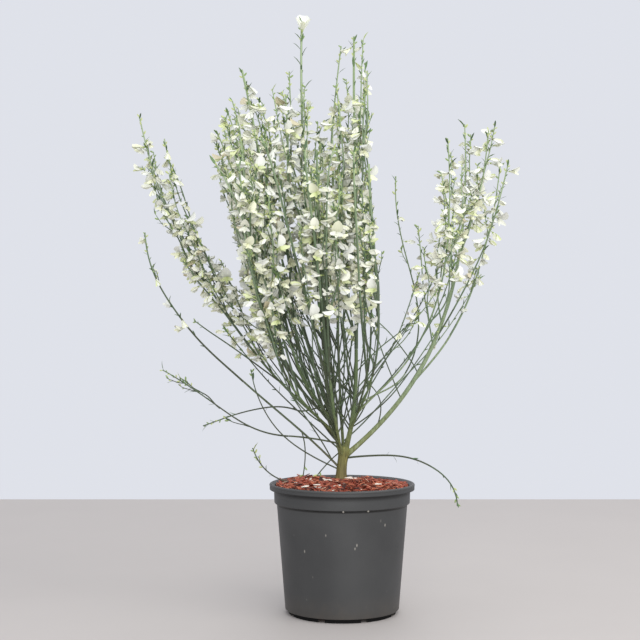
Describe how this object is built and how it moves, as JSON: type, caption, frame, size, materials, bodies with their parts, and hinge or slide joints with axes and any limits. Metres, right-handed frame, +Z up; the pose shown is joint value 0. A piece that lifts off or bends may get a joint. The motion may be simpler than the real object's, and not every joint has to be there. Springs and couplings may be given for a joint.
{
  "type": "potted broom shrub",
  "caption": "Upright white-flowering broom with thin green whips, growing in a dark grey nursery pot topped with bark mulch.",
  "frame": {"origin": "centre of the pot's flat underside", "axes": "+Z up from the pot's underside to the tallest whip, +X to the side where the single thick bough leans out, +Y to the back"},
  "size_m": [0.5025, 0.3326, 0.777],
  "materials": {
    "pot_plastic": "satin",
    "bark_mulch": "matte",
    "trunk_bark": "matte",
    "bough_bark": "matte",
    "flowering_whips": "matte"
  },
  "bodies": {
    "root": {"pot": "pot_plastic", "root_ball": "bark_mulch", "trunk": "trunk_bark", "bough_right": "bough_bark", "bough_centre_right": "bough_bark", "bough_centre": "bough_bark", "bough_front": "bough_bark", "bough_back": "bough_bark", "bough_left_low": "bough_bark", "bough_left": "bough_bark", "bough_left_outer": "bough_bark", "bough_left_front": "bough_bark", "bough_left_back": "bough_bark", "bough_low_left": "bough_bark", "bough_droop_left": "bough_bark", "bough_front_right": "bough_bark", "bough_back_right": "bough_bark", "bough_right_upper": "bough_bark", "bough_right_inner": "bough_bark", "bough_right_far": "bough_bark", "mass_leader": "flowering_whips", "mass_centre_right": "flowering_whips", "mass_left_inner": "flowering_whips", "mass_outer_left": "flowering_whips", "mass_left_lean": "flowering_whips", "mass_left_upper": "flowering_whips", "mass_left_front": "flowering_whips", "mass_front": "flowering_whips", "mass_back": "flowering_whips", "mass_front_right": "flowering_whips", "mass_back_right": "flowering_whips", "mass_right_inner": "flowering_whips", "mass_right_upper": "flowering_whips", "mass_right_outer": "flowering_whips", "mass_right_far": "flowering_whips", "low_whips_left": "flowering_whips", "drooping_whips_left": "flowering_whips", "drooping_whip_right": "flowering_whips", "basal_shoot": "flowering_whips"}
  },
  "joints": []
}
